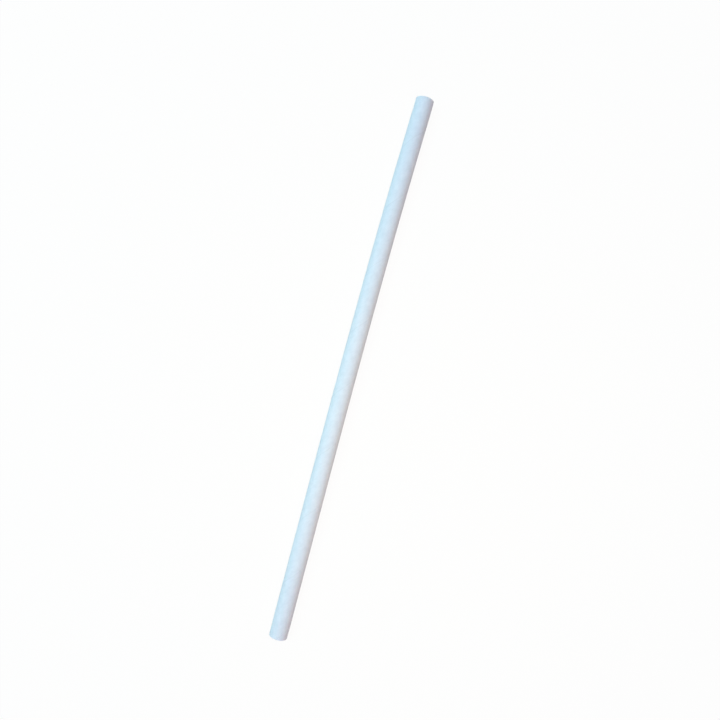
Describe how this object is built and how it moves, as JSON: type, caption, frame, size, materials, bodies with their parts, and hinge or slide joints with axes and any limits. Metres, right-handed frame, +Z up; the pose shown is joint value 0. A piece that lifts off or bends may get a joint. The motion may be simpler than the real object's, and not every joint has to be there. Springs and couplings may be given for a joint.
{
  "type": "paper drinking straw",
  "caption": "Slim white paper drinking straw, wound from paper strip, with square-cut open ends and a slight bow.",
  "frame": {"origin": "middle of the straw's length, on the surface that it lies on", "axes": "+X along the straw towards its upper end in the picture, +Y towards the outside of its slight bow, +Z up"},
  "size_m": [0.197, 0.0074, 0.0066],
  "materials": {
    "white_paper": "matt, uncoated"
  },
  "bodies": {
    "root": {"straw": "white_paper"}
  },
  "joints": []
}
